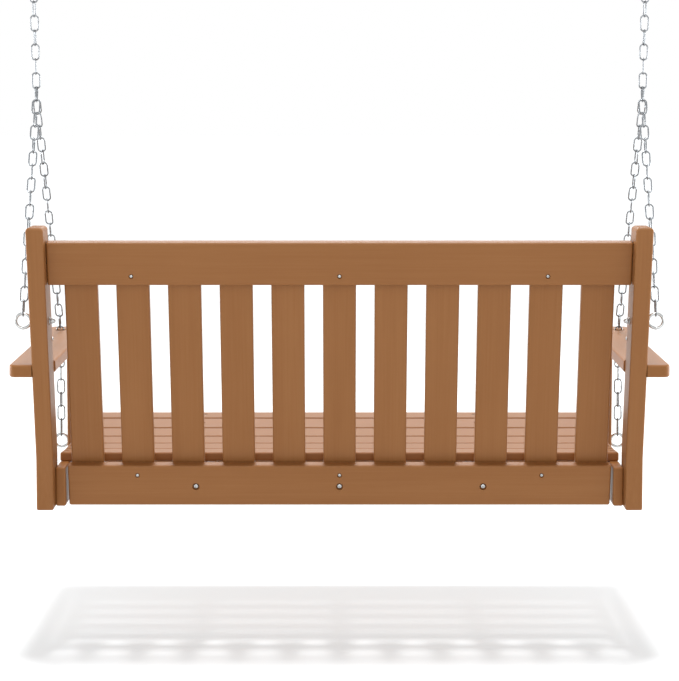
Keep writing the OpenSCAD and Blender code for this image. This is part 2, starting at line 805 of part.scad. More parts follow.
// A screw plate with a hook that opens outwards
module ceiling_hanger() {
    curve_h = -plate_t - hook_neck;
    color(STEEL) translate([hook_low.x, 0, 0]) {
        difference() {
            translate([0, 0, -plate_t]) linear_extrude(plate_t) round_rect(plate_w, plate_l, plate_corner_r);
            for (y = [-1, 1])
                translate([0, y * plate_hole_pitch / 2, -plate_t - 1]) cylinder(d = plate_hole_d, h = plate_t + 2);
        }
        translate([-hook_r, 0, curve_h]) cylinder(d = hook_d, h = hook_neck + plate_t / 2);
        translate([0, 0, curve_h]) rotate([-90, 0, 0])
            rotate_extrude(angle = 180) translate([hook_r, 0]) circle(d = hook_d);
        translate([hook_r, 0, curve_h]) {
            cylinder(d = hook_d, h = hook_tip);
            translate([0, 0, hook_tip]) cylinder(d1 = hook_d, d2 = hook_d / 2, h = hook_d / 4);
        }
    }
}

// ---- Nodes ----

rear_post();  // rear_post_left
mirror([1, 0, 0]) rear_post();  // rear_post_right
front_post();  // front_post_left
mirror([1, 0, 0]) front_post();  // front_post_right
arm();  // arm_left
mirror([1, 0, 0]) arm();  // arm_right
side_rail();  // side_rail_left
mirror([1, 0, 0]) side_rail();  // side_rail_right
seat_joist(joist_pitch);  // seat_joist_left
seat_joist(0);  // seat_joist_centre
seat_joist(-joist_pitch);  // seat_joist_right
front_beam();
front_apron();
top_rail();
lower_back_rail();
for (i = [0 : back_slats - 1])
    back_slat(i);
for (i = [0 : seat_slats - 1])
    seat_slat(i);
at_top_rail_screws() screw(short_screw_l);  // top_rail_screws
at_lower_rail_screws() screw(short_screw_l);  // lower_rail_screws
at_back_slat_screws() screw(short_screw_l);  // back_slat_screws
at_seat_screws() screw(short_screw_l);  // seat_slat_screws
at_joist_bolts() joist_bolt();  // joist_bolts
barrel_nuts();
left_and_right() at_rail_end_screws() screw(long_screw_l);  // rail_end_screws
left_and_right() at_side_rail_screws() screw(side_rail_screw_l);  // side_rail_screws
at_apron_screws() screw(apron_screw_l);  // apron_screws
at_beam_screws() screw(beam_screw_l);  // beam_screws
arm_screws();
left_and_right() at_post_peg() screw(peg_screw_l, peg_head_d, 0);  // post_pegs
rear_eye_bolt();  // rear_eye_bolt_left
mirror([1, 0, 0]) rear_eye_bolt();  // rear_eye_bolt_right
front_eye_bolt();  // front_eye_bolt_left
mirror([1, 0, 0]) front_eye_bolt();  // front_eye_bolt_right
cap_nuts();
washers();
upper_chain();  // upper_chain_left
mirror([1, 0, 0]) upper_chain();  // upper_chain_right
rear_chain();  // rear_chain_left
mirror([1, 0, 0]) rear_chain();  // rear_chain_right
front_chain();  // front_chain_left
mirror([1, 0, 0]) front_chain();  // front_chain_right
connector();  // connector_left
mirror([1, 0, 0]) connector();  // connector_right
ceiling_hanger();  // ceiling_hanger_left
mirror([1, 0, 0]) ceiling_hanger();  // ceiling_hanger_right
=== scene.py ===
import math
import bmesh
import bpy
from mathutils import Matrix, Vector


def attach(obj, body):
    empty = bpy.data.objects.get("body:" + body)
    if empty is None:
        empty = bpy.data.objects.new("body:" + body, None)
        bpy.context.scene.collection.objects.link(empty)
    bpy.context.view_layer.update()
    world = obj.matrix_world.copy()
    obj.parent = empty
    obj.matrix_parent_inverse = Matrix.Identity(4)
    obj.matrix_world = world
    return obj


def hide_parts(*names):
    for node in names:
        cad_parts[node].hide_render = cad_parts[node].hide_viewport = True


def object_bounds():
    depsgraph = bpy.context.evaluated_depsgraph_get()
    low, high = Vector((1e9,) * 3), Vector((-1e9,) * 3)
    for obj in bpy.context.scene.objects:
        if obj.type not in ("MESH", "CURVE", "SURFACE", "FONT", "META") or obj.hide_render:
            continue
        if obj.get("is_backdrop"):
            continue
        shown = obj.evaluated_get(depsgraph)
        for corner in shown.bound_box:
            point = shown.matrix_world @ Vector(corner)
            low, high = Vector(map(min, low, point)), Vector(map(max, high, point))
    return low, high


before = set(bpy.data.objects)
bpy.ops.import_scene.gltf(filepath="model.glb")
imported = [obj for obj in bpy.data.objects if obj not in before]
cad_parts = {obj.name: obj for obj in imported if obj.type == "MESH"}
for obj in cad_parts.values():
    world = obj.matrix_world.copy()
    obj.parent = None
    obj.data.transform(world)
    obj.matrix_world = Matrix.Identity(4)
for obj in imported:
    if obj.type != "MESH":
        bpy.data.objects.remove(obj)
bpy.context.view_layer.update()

print("frame loaded,", len(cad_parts), "nodes")


# sizes in metres; "ahead" runs forward from the rear posts' back faces, "high" up from their feet
bench = {
    "innerHalf": 0.585,
    "postThick": 0.035,
    "postDeep": 0.067,
    "bendHigh": 0.1065,
    "rearPostHigh": 0.589,
    "rake": math.radians(12.1),
    "frontPostAhead": 0.478,
    "hangAhead": 0.2162,
    "edge": 0.004,
    "endGap": 0.0005,
}
screwSizes = {
    "thick": 0.0042,
    "head": 0.007,
    "headHigh": 0.0026,
    "recess": 0.0096,
    "sunk": 0.0032,
    "short": 0.032,
    "long": 0.072,
    "intoBearer": 0.024,
    "woodLeft": 0.004,  # beyond the tip, in the last board
    "sides": 20,
}
pegSizes = {
    "thick": screwSizes["thick"],
    "head": 0.008,
    "headHigh": screwSizes["headHigh"],
    "long": 0.025,
    "fromFront": 0.009,
    "up": 0.2405,
    "sides": screwSizes["sides"],
}
boltSizes = {
    "thick": 0.00635,
    "head": 0.0105,
    "headHigh": 0.0042,
    "recess": 0.015,
    "sunk": 0.0052,
    "long": 0.076,
    "sides": 28,
}
barrelNut = {"thick": 0.012, "rim": 0.0007, "short": 0.003, "beamLong": 0.017, "fit": 0.0001, "holeLong": 0.05}
postMid = bench["innerHalf"] + bench["postThick"] / 2
postOuter = bench["innerHalf"] + bench["postThick"]
boardLong = 2 * (bench["innerHalf"] - bench["endGap"])
rakedLong = (bench["rearPostHigh"] - bench["bendHigh"]) / math.cos(bench["rake"])


def rakeAhead(high, deep):
    return -(high - bench["bendHigh"]) * math.tan(bench["rake"]) + deep / math.cos(bench["rake"])


# the chains also set how far the seat hangs below the ceiling
chain = {
    "pitch": 0.0304,
    "wire": 0.0032,
    "innerWide": 0.0126,
    "slack": 0.0002,
    "upperLinks": 8,
    "rearLinks": 17,
    "frontLinks": 20,
    "dropLinks": 7,
    "lean": math.radians(0.9),
    "swivel": 9,
    "swivelStep": 140,
    "firstTurns": [90, 30, -30],
    "weldSteps": (-0.0022, -0.0011, 0.0011, 0.0022),
    "weldHalf": 0.0015,
    "weldFull": 1.13,
    # how far the painted shade reaches around the spot where two links meet
    "contactShadeHalf": 0.0042,
    "bends": 20,
    "wireSides": 10,
}
eye = {
    "outer": 0.0356,
    "wire": 0.006,
    "rearUp": 0.2877,
    "frontHigh": 0.0517,
    "beamGrip": 0.056,
    "nutGrip": 0.007,
    "ringDraw": 0.985,
    "neck": [(1, -0.004), (1.16, -0.0018), (1.1, 0.0006), (0.7, 0.0012)],  # share of the shank, place along it
}
hanger = {
    "plateThick": 0.005,
    "plateLong": 0.1,
    "plateWide": 0.04,
    "plateEdge": 0.0006,
    "holePitch": 0.07,
    "hole": 0.007,
    "holeFlare": 0.0025,
    "corner": 0.008,
    "rod": 0.008,
    "bendRadius": 0.016,
    "neck": 0.038,
    "collar": [(0.002, 0.0008), (0.0004, 0.0022), (0, 0.0035)],  # proud of the rod, below the plate
    "tip": 0.012,
    "tipRound": [(1, 0), (0.86, 0.35), (0.55, 0.5)],  # shares of the rod's radius: its width, and past the tip
}
linkLong = chain["pitch"] + chain["slack"]
linkRadius = (chain["innerWide"] + chain["wire"]) / 2
legApart = chain["wire"] / 2 + chain["slack"]
leadJunction = chain["wire"] / 2 + linkRadius - math.sqrt(linkRadius**2 - legApart**2) + chain["slack"]
leadEye = eye["wire"] / 2 + chain["slack"]
leadHook = hanger["rod"] / 2 + chain["slack"]
eyeRadius = (eye["outer"] - eye["wire"]) / 2
eyeAcross = postOuter + eye["outer"] / 2
rearEyeHigh = bench["bendHigh"] + eye["rearUp"] * math.cos(bench["rake"])
rearEyeHigh += bench["postDeep"] / 2 * math.sin(bench["rake"])
rearEyeAhead = rakeAhead(rearEyeHigh, bench["postDeep"] / 2)
rearLeg = chain["rearLinks"] * chain["pitch"] + chain["slack"] - leadJunction - leadEye
frontLeg = chain["frontLinks"] * chain["pitch"] + chain["slack"] - leadJunction - legApart
upperLong = chain["upperLinks"] * chain["pitch"] + chain["slack"] + chain["wire"] / 2 - leadHook
rearEyeTop = Vector((eyeAcross, -rearEyeAhead, rearEyeHigh + eyeRadius))
frontEyeTop = Vector((eyeAcross, -bench["frontPostAhead"], eye["frontHigh"] + eyeRadius))
rise = math.cos(chain["lean"]) * math.sqrt(rearLeg**2 - (bench["hangAhead"] - rearEyeAhead) ** 2)
junction = Vector((eyeAcross + rise * math.tan(chain["lean"]), -bench["hangAhead"], rearEyeTop.z + rise))
run = math.hypot(junction.x + legApart - eyeAcross, bench["frontPostAhead"] - bench["hangAhead"])
elbow = Vector((eyeAcross, -bench["frontPostAhead"], junction.z - math.sqrt(frontLeg**2 - run**2)))
hookLow = junction + upperLong * Vector((math.sin(chain["lean"]), 0, math.cos(chain["lean"])))
hangDrop = hookLow.z + hanger["bendRadius"] + hanger["neck"] + hanger["plateThick"]

# places are given on the bench's own axes, on the raked back, or on one seat slat
seat = {
    "slats": 6,
    "slatWide": 0.068,
    "slatThick": 0.019,
    "pitch": 0.0737,
    "firstAhead": 0.0889,
    "lowHigh": 0.093,
    "lowAhead": 0.252,
    "dishRadius": 1.43,
    "railThick": 0.021,
    "railAhead": 0.0305,
    "railLow": 0.002,
    "joistThick": 0.036,
    "joistPitch": 0.2966,
    "screwAside": 0.012,
    "joistLow": 0.004,
    "apronThick": 0.021,
    "apronSet": 0.001,
    "beamThick": 0.038,
    "screwedHigh": [0.03, 0.062],
    "railScrewHigh": [0.022, 0.062],
}
back = {
    "slats": 11,
    "slatWide": 0.067,
    "slatThick": 0.019,
    "pitch": 0.1042,
    "railThick": 0.022,
    "railWide": 0.089,
    "topUp": 0.454,
    "lowDown": 0.115,
    "slatShort": 0.014,
    "topScrewIn": 0.019,
    "lowScrewIn": 0.022,
    "boltIn": 0.047,
    "railGap": 0.004,
}
toBench = Matrix.Translation((0, bench["hangAhead"], -hangDrop))
toBack = toBench @ Matrix.Translation((0, 0, bench["bendHigh"])) @ Matrix.Rotation(-bench["rake"], 4, "X")
mirrored = Matrix.Diagonal((-1, 1, 1, 1))
flips = {"left": Matrix.Identity(4), "right": mirrored}
slatAhead = [seat["firstAhead"] + i * seat["pitch"] for i in range(seat["slats"] + 1)]


def shift(x, y, z):
    return Matrix.Translation((x, y, z))


def turn(degrees, axis):
    return Matrix.Rotation(math.radians(degrees), 4, axis)


def dishHigh(ahead):
    away = ahead - seat["lowAhead"]
    return seat["lowHigh"] + seat["dishRadius"] - math.sqrt(seat["dishRadius"] ** 2 - away**2)


underLine = [(ahead, dishHigh(ahead) - seat["slatThick"]) for ahead in slatAhead[:-1]]
underLine.append((slatAhead[-1], underLine[-1][1]))  # the front slat lies level


def toSlat(i):
    rear, front = underLine[i], underLine[i + 1]
    tilt = math.atan2(front[1] - rear[1], front[0] - rear[0])
    return toBench @ shift(0, -(rear[0] + front[0]) / 2, (rear[1] + front[1]) / 2) @ Matrix.Rotation(-tilt, 4, "X")


def underHigh(ahead):
    if ahead <= slatAhead[0]:
        return underLine[0][1]
    for rear, front in zip(underLine, underLine[1:]):
        if ahead <= front[0]:
            break
    return rear[1] + (ahead - rear[0]) * (front[1] - rear[1]) / (front[0] - rear[0])


def deselectAll():
    if bpy.context.mode != "OBJECT":
        bpy.ops.object.mode_set(mode="OBJECT")
    bpy.ops.object.select_all(action="DESELECT")


def selectOnly(*pieces):
    deselectAll()
    for piece in pieces:
        piece.select_set(True)
    bpy.context.view_layer.objects.active = pieces[0]


def editMode(piece, kind="VERT"):
    selectOnly(piece)
    bpy.ops.object.mode_set(mode="EDIT")
    bpy.ops.mesh.select_mode(type=kind)


def objectMode():
    bpy.ops.object.mode_set(mode="OBJECT")


near = 0.0005  # points this close count as level with each other


def pick(piece, test):  # selects the vertices whose place passes the test, with their edges and faces
    mesh = bmesh.from_edit_mesh(piece.data)
    for vert in mesh.verts:
        vert.select_set(False)
    mesh.select_flush(False)
    for vert in mesh.verts:
        if test(vert.co):
            vert.select_set(True)
    mesh.select_flush(True)
    bmesh.update_edit_mesh(piece.data)


def pickEdges(piece, test):  # test takes the two ends of an edge
    mesh = bmesh.from_edit_mesh(piece.data)
    for edge in mesh.edges:
        edge.select_set(False)
    for edge in mesh.edges:
        if test(*(vert.co for vert in edge.verts)):
            edge.select_set(True)
    bmesh.update_edit_mesh(piece.data)


def upright(a, b):
    return math.hypot(a.x - b.x, a.y - b.y) < near


def place(piece, matrix):
    piece.data.transform(matrix)
    if matrix.determinant() < 0:
        piece.data.flip_normals()
    return piece


def copyOf(piece, matrix, name=None):
    copy = piece.copy()
    copy.data = piece.data.copy()
    copy.name = name or piece.name + "Copy"
    bpy.context.scene.collection.objects.link(copy)
    return place(copy, matrix)


def joined(name, parts):
    selectOnly(*parts)
    if len(parts) > 1:
        bpy.ops.object.join()
    parts[0].name = name
    return parts[0]


def discard(*pieces):
    for piece in pieces:
        bpy.data.objects.remove(piece)


def modify(piece, kind, **settings):
    modifier = piece.modifiers.new(kind, kind)
    for key, value in settings.items():
        setattr(modifier, key, value)
    selectOnly(piece)
    bpy.ops.object.modifier_apply(modifier=modifier.name)
    return piece


def rounded(piece, width, segments=4):
    return modify(piece, "BEVEL", width=width, segments=segments, limit_method="ANGLE", angle_limit=math.radians(40))


def cutBy(piece, cutters):
    cutter = joined("cutter", cutters)
    modify(piece, "BOOLEAN", operation="DIFFERENCE", object=cutter, solver="EXACT")
    discard(cutter)
    return piece


def smoothed(piece, angle=38):
    selectOnly(piece)
    bpy.ops.object.shade_smooth_by_angle(angle=math.radians(angle))
    return modify(piece, "WEIGHTED_NORMAL", keep_sharp=True)


def addBox(name, low, high):
    low, high = Vector(low), Vector(high)
    deselectAll()
    bpy.ops.mesh.primitive_cube_add(size=1)
    box = bpy.context.object
    box.name = name
    editMode(box)
    bpy.ops.mesh.select_all(action="SELECT")
    bpy.ops.transform.resize(value=high - low)
    bpy.ops.transform.translate(value=(low + high) / 2)
    objectMode()
    return box


def sliced(piece, acrossAt, aside=0.011):  # cuts across a board beside each recess, so that its face stays clean
    editMode(piece)
    for at in acrossAt:
        for side in (-aside, aside):
            bpy.ops.mesh.select_all(action="SELECT")
            bpy.ops.mesh.bisect(plane_co=(at + side, 0, 0), plane_no=(1, 0, 0))
    objectMode()
    return piece


def addBoard(name, size, acrossAt=()):
    half = Vector(size) / 2
    return sliced(rounded(addBox(name, -half, half), bench["edge"]), acrossAt)


def addTurned(name, profile, count=24):  # profile: radius and height of each ring, from the bottom up
    (firstRadius, firstHigh) = profile[0]
    deselectAll()
    bpy.ops.mesh.primitive_circle_add(vertices=count, radius=firstRadius, fill_type="NGON", location=(0, 0, 0))
    piece = bpy.context.object
    piece.name = name
    editMode(piece, "FACE")
    bpy.ops.mesh.select_all(action="SELECT")
    bpy.ops.transform.translate(value=(0, 0, firstHigh))
    radius, high = firstRadius, firstHigh
    for nextRadius, nextHigh in profile[1:]:
        bpy.ops.mesh.extrude_region_move(TRANSFORM_OT_translate={"value": (0, 0, nextHigh - high)})
        scale = nextRadius / radius
        bpy.ops.transform.resize(value=(scale, scale, 1), center_override=(0, 0, nextHigh))
        radius, high = nextRadius, nextHigh
    bpy.ops.mesh.select_all(action="SELECT")
    bpy.ops.mesh.normals_make_consistent(inside=False)
    objectMode()
    return piece


def recessCutter(wide, sunk, rim=0.0004, above=0.002):
    radius = wide / 2
    return addTurned("recess", [(radius, -sunk), (radius, -rim), (radius + 2 * rim, rim), (radius + 2 * rim, above)])


def holeCutter(wide, long):
    return addTurned("hole", [(wide / 2, -long / 2), (wide / 2, long / 2)])


class Signal:  # one output socket; an expression on signals adds its Math nodes
    def __init__(self, shader, socket):
        self.shader, self.socket = shader, socket

    def maths(self, operation, first, second):
        return self.shader.add("ShaderNodeMath", {"operation": operation}, {0: first, 1: second})

    def __add__(self, other):
        return self.maths("ADD", self, other)

    def __radd__(self, other):
        return self.maths("ADD", other, self)

    def __sub__(self, other):
        return self.maths("SUBTRACT", self, other)

    def __rsub__(self, other):
        return self.maths("SUBTRACT", other, self)

    def __mul__(self, other):
        return self.maths("MULTIPLY", self, other)

    def __rmul__(self, other):
        return self.maths("MULTIPLY", other, self)


class Shader:
    def __init__(self, owner):  # a material or the world
        owner.use_nodes = True
        self.tree = owner.node_tree

    def add(self, kind, settings=None, sockets=None, output=0):
        node = self.tree.nodes.new(kind)
        for key, value in (settings or {}).items():
            setattr(node, key, value)
        for key, value in (sockets or {}).items():
            self.feed(node.inputs[key], value)
        return Signal(self, node.outputs[output])

    def feed(self, socket, value):
        if isinstance(value, Signal):
            self.tree.links.new(value.socket, socket)
        else:
            socket.default_value = value

    def surfaceTakes(self, **values):  # socket names without their spaces
        inputs = self.tree.nodes["Principled BSDF"].inputs
        names = {name.replace(" ", ""): name for name in inputs.keys()}
        for key, value in values.items():
            self.feed(inputs[names[key]], value)

    def places(self, rotation=(0, 0, 0)):
        seen = self.add("ShaderNodeTexCoord", output="Object")
        return self.add("ShaderNodeMapping", sockets={"Vector": seen, "Rotation": rotation})

    def noise(self, vector, scale, detail=2.0, roughness=0.5):
        sockets = {"Vector": vector, "Scale": scale, "Detail": detail, "Roughness": roughness}
        return self.add("ShaderNodeTexNoise", sockets=sockets)

    def ramp(self, factor, low, high):  # 0 below low, 1 above high
        return self.add("ShaderNodeMapRange", {"clamp": True}, {"Value": factor, "From Min": low, "From Max": high})

    def blend(self, factor, first, second):
        mixer = self.tree.nodes.new("ShaderNodeMix")
        mixer.data_type = "RGBA"
        for key, value in {"Factor": factor, "A": first, "B": second}.items():
            socket = [s for s in mixer.inputs if s.name == key and (s.type == "RGBA" or key == "Factor")][0]
            self.feed(socket, value)
        return Signal(self, [s for s in mixer.outputs if s.type == "RGBA"][0])

    def bump(self, height, strength, distance):
        return self.add("ShaderNodeBump", sockets={"Height": height, "Strength": strength, "Distance": distance})


def shade(red, green, blue):  # a colour as a picker shows it, 0 to 255
    def linear(value):
        value /= 255
        return value / 12.92 if value <= 0.04045 else ((value + 0.055) / 1.055) ** 2.4

    return (linear(red), linear(green), linear(blue), 1)


lumberLook = {
    "body": shade(148, 98, 54),
    "light": shade(152, 102, 58),
    "dark": shade(144, 94, 50),
    "roughness": 0.4,
    "gloss": 0.24,
    "ior": 1.49,
    "streaksAcross": 260,
    "streaksAlong": 5,
    "bandShare": 9,
    "cloudScale": 5,
    "fineWeight": 0.45,
    "bandWeight": 0.35,
    "cloudWeight": 0.2,
    "toneEnds": (0.38, 0.62),
    "streakDepth": 0.00003,
    "streakSheen": 0.1,
    "skinScale": 1500,
    "skinDepth": 0.00005,
    "skinEnds": (0.35, 0.75),
    "skinShow": 0.35,
    "skinSheen": 0.08,
    "sawScale": 143.31,
    "sawWaver": 3.0,
    "sawDepth": 0.00012,
    "sawSheen": 0.14,
    "sawDark": (0.2, 0.5),
    "sawnFrom": (0.8, 0.97),
    "relief": 0.55,
}
reliefUnit = 0.001


def lumberMaterial(name, along, rotation=(0, 0, 0)):
    look = lumberLook
    material = bpy.data.materials.new(name)
    shader = Shader(material)
    scale = [1.0, 1.0, 1.0]
    scale[along] = look["streaksAlong"] / look["streaksAcross"]
    plain = shader.places(rotation)
    stretched = shader.add("ShaderNodeMapping", sockets={"Vector": plain, "Scale": scale})
    fine = shader.noise(stretched, look["streaksAcross"], 3, 0.6)
    band = shader.noise(stretched, look["streaksAcross"] / look["bandShare"], 2, 0.5)
    cloud = shader.noise(plain, look["cloudScale"], 2)
    skin = shader.noise(plain, look["skinScale"], 2, 0.6)
    tone = look["fineWeight"] * fine + look["bandWeight"] * band + look["cloudWeight"] * cloud
    colour = shader.blend(shader.ramp(tone, *look["toneEnds"]), look["dark"], look["light"])
    colour = shader.blend(shader.ramp(skin, *look["skinEnds"]) * look["skinShow"], colour, look["body"])
    # the cut ends, where the board was crosscut
    facing = shader.add("ShaderNodeTexCoord", output="Normal")
    facing = shader.add("ShaderNodeMapping", {"vector_type": "NORMAL"}, {"Vector": facing, "Rotation": rotation})
    endways = shader.add("ShaderNodeSeparateXYZ", sockets={0: facing}, output=along)
    sawn = shader.ramp(endways * endways, *look["sawnFrom"])
    bands = {"wave_type": "BANDS", "bands_direction": "DIAGONAL"}
    sawBlade = {"Vector": plain, "Scale": look["sawScale"], "Distortion": look["sawWaver"], "Detail": 1.0}
    marks = shader.add("ShaderNodeTexWave", bands, sawBlade, "Fac")
    least, more = look["sawDark"]
    colour = shader.blend(sawn * (least + more * marks), colour, look["dark"])
    roughness = look["roughness"] + look["streakSheen"] * (fine - 0.5) + look["skinSheen"] * (skin - 0.5)
    roughness = roughness + look["sawSheen"] * sawn
    streaks, pores, sawMarks = (look[key] / reliefUnit for key in ("streakDepth", "skinDepth", "sawDepth"))
    height = (1 - sawn) * (fine * streaks) + skin * pores + sawn * marks * sawMarks
    shader.surfaceTakes(
        BaseColor=colour, Roughness=roughness, IOR=look["ior"], SpecularIORLevel=look["gloss"],
        Normal=shader.bump(height, look["relief"], reliefUnit),
    )
    return material


metalLooks = {  # the clean metal, its dull patches, the roughness, and how fine the mottle is
    "stainless": {"clean": shade(200, 200, 198), "dull": shade(168, 168, 168), "roughness": 0.24, "mottle": 300},
    "brightZinc": {"clean": shade(158, 161, 164), "dull": shade(118, 122, 126), "roughness": 0.24, "mottle": 420},
    "zincPlate": {"clean": shade(172, 175, 178), "dull": shade(132, 136, 140), "roughness": 0.34, "mottle": 160},
}
# the dark link colour and its share are painted shade where the chain's links meet
metalGrain = {"finer": 6, "sheen": 0.12, "relief": 0.25, "reliefUnit": 0.0001, "contactShade": shade(62, 60, 58),
              "contactShadeShow": 0.75, "contactRoughness": 0.15}


def metalMaterial(name, contact=False):
    look, grainLook = metalLooks[name], metalGrain
    material = bpy.data.materials.new(name)
    shader = Shader(material)
    plain = shader.places()
    patchy = {"Vector": plain, "Scale": look["mottle"], "Smoothness": 0.6}
    patches = shader.add("ShaderNodeTexVoronoi", {"feature": "SMOOTH_F1"}, patchy)
    grain = shader.noise(plain, look["mottle"] * grainLook["finer"], 3, 0.65)
    metal = shader.blend(shader.ramp(0.5 * patches + 0.5 * grain, 0.3, 0.75), look["clean"], look["dull"])
    rough = look["roughness"] + grainLook["sheen"] * (grain - 0.4)
    if contact:  # painted shade: the links are darkened where they meet, in the crease between them
        contactShade = shader.add("ShaderNodeAttribute", {"attribute_name": "contact"}, output="Fac")
        metal = shader.blend(shader.ramp(contactShade, 0.1, 0.9) * grainLook["contactShadeShow"], metal, grainLook["contactShade"])
        rough = rough + grainLook["contactRoughness"] * contactShade
    relief = shader.bump(grain, grainLook["relief"], grainLook["reliefUnit"])
    shader.surfaceTakes(BaseColor=metal, Metallic=1.0, Roughness=rough, Normal=relief)
    return material


rakeTurn = (bench["rake"], 0, 0)
lumber = {
    "across": lumberMaterial("lumberAcross", 0),
    "ahead": lumberMaterial("lumberAhead", 1),
    "raked": lumberMaterial("lumberRaked", 2, rakeTurn),
    "acrossRaked": lumberMaterial("lumberAcrossRaked", 0, rakeTurn),
    "upright": lumberMaterial("lumberUpright", 2),
}
stainless = metalMaterial("stainless")
zinc = metalMaterial("brightZinc", contact=True)
plate = metalMaterial("zincPlate")
print("materials made")


def finish(piece, material, body, slotName, *nodes):
    piece.data.materials.clear()
    piece.data.materials.append(material)
    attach(piece, body)
    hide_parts(*nodes)
    return piece


def wooden(piece, grain, node):
    return finish(smoothed(piece), lumber[grain], "seat", "lumber", node)


# where the screws and bolts go: each entry is the face of the wood, with the screw along its -Z
eachSide = (back["slats"] - 1) // 2
joistsAcross = [-seat["joistPitch"], 0, seat["joistPitch"]]
railMid = bench["innerHalf"] - seat["railThick"] / 2
bearersAcross = [-railMid, *joistsAcross, railMid]
outerScrew = seat["joistPitch"] + seat["screwAside"]
seatScrewsAcross = [-railMid, -outerScrew, 0, outerScrew, railMid]
railDeep = bench["postDeep"] - back["slatThick"] - back["railThick"]
topMid = back["topUp"] - back["railWide"] / 2
lowTop = back["railWide"] - back["lowDown"]
lowMid = lowTop - back["railWide"] / 2
apronFront = bench["frontPostAhead"] + bench["postDeep"] / 2 - seat["apronSet"]
apronBack = apronFront - seat["apronThick"]
beamBack = apronBack - seat["beamThick"]
rearScrewed = [i * back["pitch"] for i in (-4, 0, 4)]
frontTop = [i * back["pitch"] for i in range(-eachSide, eachSide + 1) if i % 4]  # where no rear screw is
frontLow = [x for x in frontTop if abs(abs(x) - 3 * back["pitch"]) > near]  # nor a joist's bolt
rearTurn = turn(-90, "X")
outTurn = turn(90, "Y")


def atSeatScrews(i):
    ahead = 0
    if i == seat["slats"] - 1:  # the front slat is screwed to the apron
        ahead = apronBack + seat["apronThick"] / 2 - (slatAhead[i] + slatAhead[i + 1]) / 2
    return [toSlat(i) @ shift(x, -ahead, seat["slatThick"]) for x in seatScrewsAcross]


def bothSides(places):
    return [flip @ spot for spot in places for flip in flips.values()]


topScrewUp = back["topUp"] - back["railWide"] + back["topScrewIn"]
atTopRail = [toBack @ shift(x, -railDeep, topScrewUp) @ rearTurn for x in rearScrewed]
atLowRail = [toBack @ shift(x, -railDeep, lowTop - back["lowScrewIn"]) @ rearTurn for x in rearScrewed]
atBolts = [toBack @ shift(x, -railDeep, lowTop - back["boltIn"]) @ rearTurn for x in joistsAcross]
atSlatFronts = [toBack @ shift(x, -bench["postDeep"], high) @ turn(90, "X")
                for xs, high in ((frontTop, topMid), (frontLow, lowMid)) for x in xs]
atRailEnds = [toBack @ shift(postOuter, -railDeep - back["railThick"] / 2, topMid + up) @ outTurn
              for up in (-back["railWide"] / 4, back["railWide"] / 4)]
sideRailAhead = (seat["railAhead"] + bench["postDeep"]) / 2
atSideRailRear = [toBench @ shift(postOuter, -sideRailAhead, high) @ outTurn for high in seat["railScrewHigh"]]
atSideRailFront = [toBench @ shift(postOuter, -bench["frontPostAhead"], seat["railScrewHigh"][0]) @ outTurn]
atApron = [toBench @ shift(x, -apronFront, high) @ turn(90, "X")
           for x in bearersAcross for high in seat["screwedHigh"]]
nutDeep = boltSizes["sunk"] + boltSizes["long"] - barrelNut["thick"]
atJoistNuts = [spot @ shift(0, 0, -nutDeep) @ turn(90, "Y") for spot in atBolts]
pegPlace = shift(bench["innerHalf"], pegSizes["fromFront"] - bench["postDeep"], pegSizes["up"])
atPegs = [toBack @ pegPlace @ turn(-90, "Y")]
atRearEye = toBench @ shift(eyeAcross, -rearEyeAhead, rearEyeHigh)
atFrontEye = toBench @ shift(eyeAcross, -bench["frontPostAhead"], eye["frontHigh"])
recess = recessCutter(screwSizes["recess"], screwSizes["sunk"])
boltRecess = recessCutter(boltSizes["recess"], boltSizes["sunk"])


def recessed(piece, places, cutter=recess):
    return cutBy(piece, [copyOf(cutter, spot) for spot in places])


def onSlat(places, x):  # those of the places that lie on the back slat whose middle is at x
    return [spot for spot in places if abs(spot.translation.x - x) < back["slatWide"] / 2]


topRail = addBoard("topRail", (boardLong, back["railThick"], back["railWide"]), rearScrewed)
place(topRail, toBack @ shift(0, -railDeep - back["railThick"] / 2, topMid))
wooden(recessed(topRail, atTopRail), "acrossRaked", "top_rail")

lowRailLong = 2 * (bench["innerHalf"] - seat["railThick"] - back["railGap"])
lowRail = addBoard("lowerBackRail", (lowRailLong, back["railThick"], back["railWide"]), {*rearScrewed, *joistsAcross})
place(lowRail, toBack @ shift(0, -railDeep - back["railThick"] / 2, lowMid))
wooden(recessed(recessed(lowRail, atLowRail), atBolts, boltRecess), "acrossRaked", "lower_back_rail")

slatTop, slatFoot = back["topUp"] - back["slatShort"], back["slatShort"] - back["lowDown"]
plainSlat = addBoard("plainBackSlat", (back["slatWide"], back["slatThick"], slatTop - slatFoot))
slatPlace = toBack @ shift(0, back["slatThick"] / 2 - bench["postDeep"], (slatTop + slatFoot) / 2)
for i in range(back["slats"]):
    x = (i - eachSide) * back["pitch"]
    slat = copyOf(plainSlat, shift(x, 0, 0) @ slatPlace, f"backSlat{i + 1}")
    screwed = onSlat(atSlatFronts, x)
    if screwed:
        recessed(slat, screwed)
    wooden(slat, "raked", f"back_slat_{i + 1}")
discard(plainSlat)
print("back made")

plainSeatSlat = addBoard("plainSeatSlat", (boardLong, seat["slatWide"], seat["slatThick"]), seatScrewsAcross)
for i in range(seat["slats"]):
    slat = copyOf(plainSeatSlat, toSlat(i) @ shift(0, 0, seat["slatThick"] / 2), f"seatSlat{i + 1}")
    wooden(recessed(slat, atSeatScrews(i)), "across", f"seat_slat_{i + 1}")
discard(plainSeatSlat)


